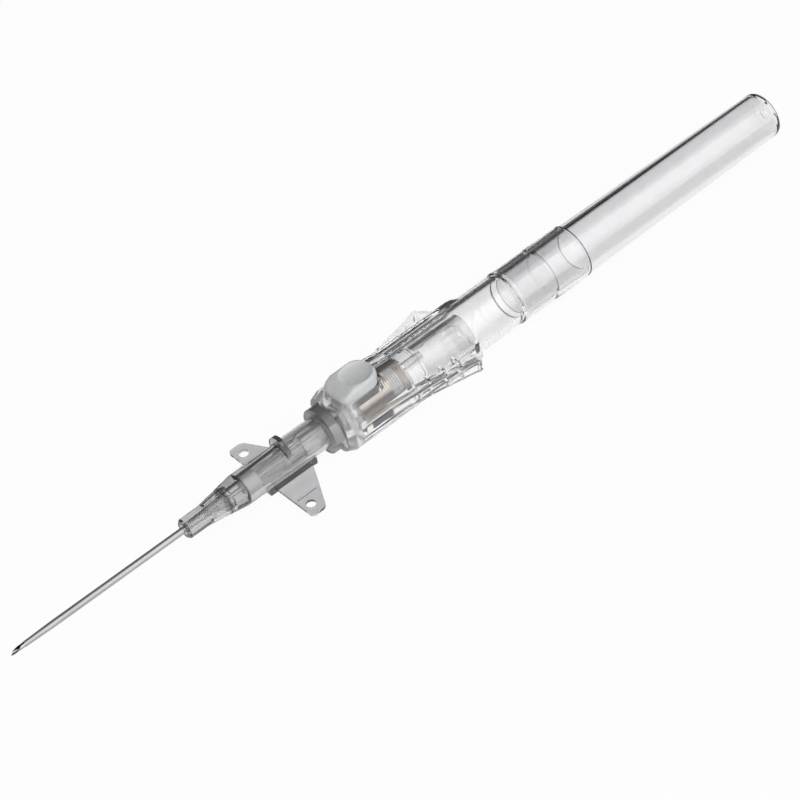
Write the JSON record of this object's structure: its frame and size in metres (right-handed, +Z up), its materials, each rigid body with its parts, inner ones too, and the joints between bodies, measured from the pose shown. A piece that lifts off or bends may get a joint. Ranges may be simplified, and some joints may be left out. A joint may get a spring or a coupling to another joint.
{
  "type": "peripheral iv cannula",
  "caption": "Winged peripheral intravenous cannula with push-button needle retraction: steel needle in a short catheter, grey hub and clear closed barrel.",
  "frame": {"origin": "under the middle of the part's length, on the surface that the grip's flat underside rests on", "axes": "+X along the needle's axis from the point towards the closed end, +Y across the wings, +Z up towards the push button"},
  "size_m": [0.1514, 0.0204, 0.0108],
  "materials": {
    "needle_steel": "ground and polished tube",
    "catheter_polymer": "smooth clear extrusion",
    "wedge_steel": "spun, bright",
    "hub_grey": "polished moulding, tinted translucent",
    "septum_rubber": "smooth elastomer",
    "actuator_plastic": "smooth moulding",
    "housing_clear": "polished clear moulding",
    "tube_clear": "polished clear moulding",
    "button_plastic": "soft satin moulding",
    "carrier_clear": "polished clear moulding",
    "vent_white": "porous",
    "spring_steel": "drawn wire"
  },
  "bodies": {
    "barrel": {"grip_housing": "housing_clear", "rear_tube": "tube_clear", "retraction_spring": "spring_steel"},
    "button": {"push_button": "button_plastic"},
    "needle_carrier": {"needle_hub": "carrier_clear", "introducer_needle": "needle_steel", "vent_plug": "vent_white"},
    "catheter": {"catheter_hub": "hub_grey", "catheter_tube": "catheter_polymer", "catheter_wedge": "wedge_steel", "blood_control_septum": "septum_rubber"},
    "actuator": {"septum_actuator": "actuator_plastic"}
  },
  "joints": [
    {"name": "button_press", "type": "slide", "parent": "barrel", "child": "button", "axis": [0, 0, -1], "range_m": [0, 0.00115]},
    {"name": "needle_retract", "type": "slide", "parent": "barrel", "child": "needle_carrier", "axis": [1, 0, 0], "range_m": [0, 0.063], "deforming": ["retraction_spring"]},
    {"name": "catheter_advance", "type": "slide", "parent": "barrel", "child": "catheter", "axis": [-1, 0, 0], "range_m": [0, 0.064]},
    {"name": "actuator_push", "type": "slide", "parent": "catheter", "child": "actuator", "axis": [-1, 0, 0], "range_m": [0, 0.0022], "deforming": ["blood_control_septum"]}
  ]
}
